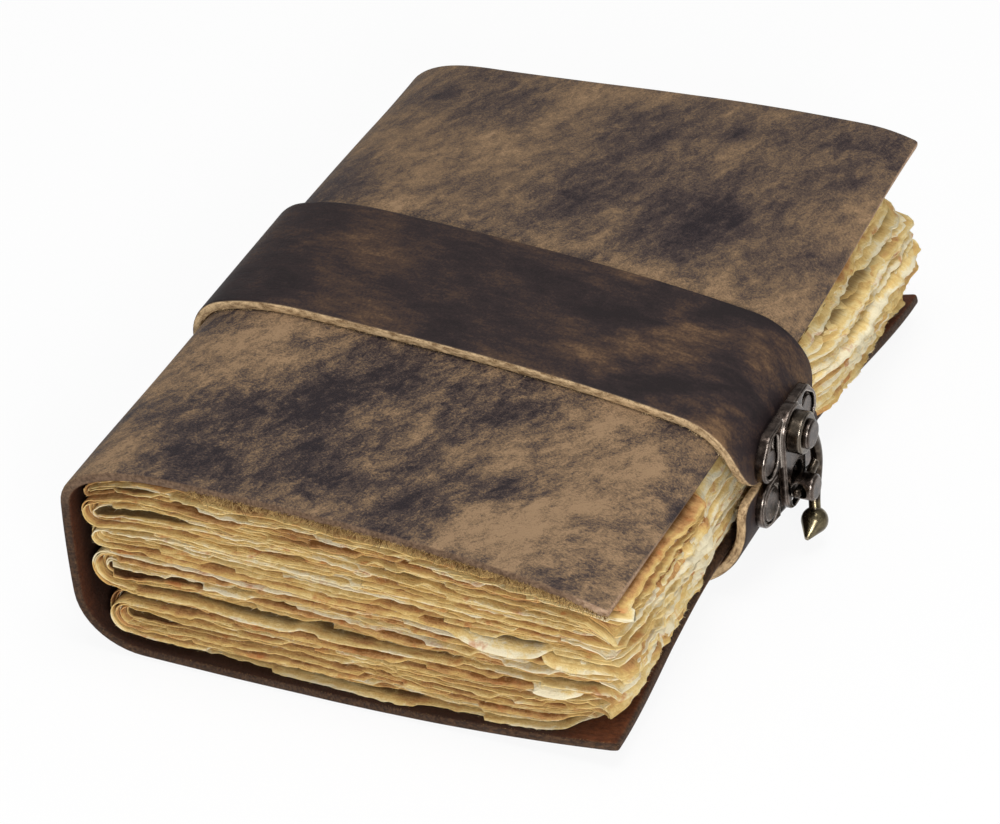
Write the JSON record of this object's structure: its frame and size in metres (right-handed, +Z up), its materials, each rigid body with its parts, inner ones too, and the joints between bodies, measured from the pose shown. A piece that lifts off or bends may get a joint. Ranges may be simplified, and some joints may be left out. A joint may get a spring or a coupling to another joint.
{
  "type": "leather journal",
  "caption": "Soft leather wrap journal with deckle-edge sewn pages, held shut by a wide leather strap and a metal swing clasp at the fore-edge.",
  "frame": {"origin": "under the middle of the journal, on the surface it rests on", "axes": "+X from the spine to the fore-edge and clasp, +Y from the near end of the pages to the far end, +Z up out of the front cover"},
  "size_m": [0.145, 0.178, 0.0535],
  "materials": {
    "cover_leather": "matte mottled suede-like leather",
    "strap_leather": "dark waxed leather with pale cut edges",
    "paper": "cream handmade paper with deckle edges",
    "thread": "waxed linen",
    "plate_metal": "dark gunmetal, worn bright at the edges",
    "rivet_metal": "dark gunmetal, rubbed",
    "lever_metal": "antique brass, darkened"
  },
  "bodies": {
    "journal": {"cover": "cover_leather", "pages": "paper", "binding_thread": "thread", "strap": "strap_leather", "upper_plate": "plate_metal", "lower_plate": "plate_metal", "eye_post": "plate_metal", "pivot_pin": "plate_metal", "upper_rivets": "rivet_metal", "lower_rivets": "rivet_metal", "rivet_washers": "rivet_metal"},
    "lever": {"swing_lever": "lever_metal"}
  },
  "joints": [
    {"name": "lever_swing", "type": "hinge", "parent": "journal", "child": "lever", "pos_m": [0.06853, -0.0045, 0.033], "axis": [1, 0, 0], "range_deg": [0, 270]}
  ]
}
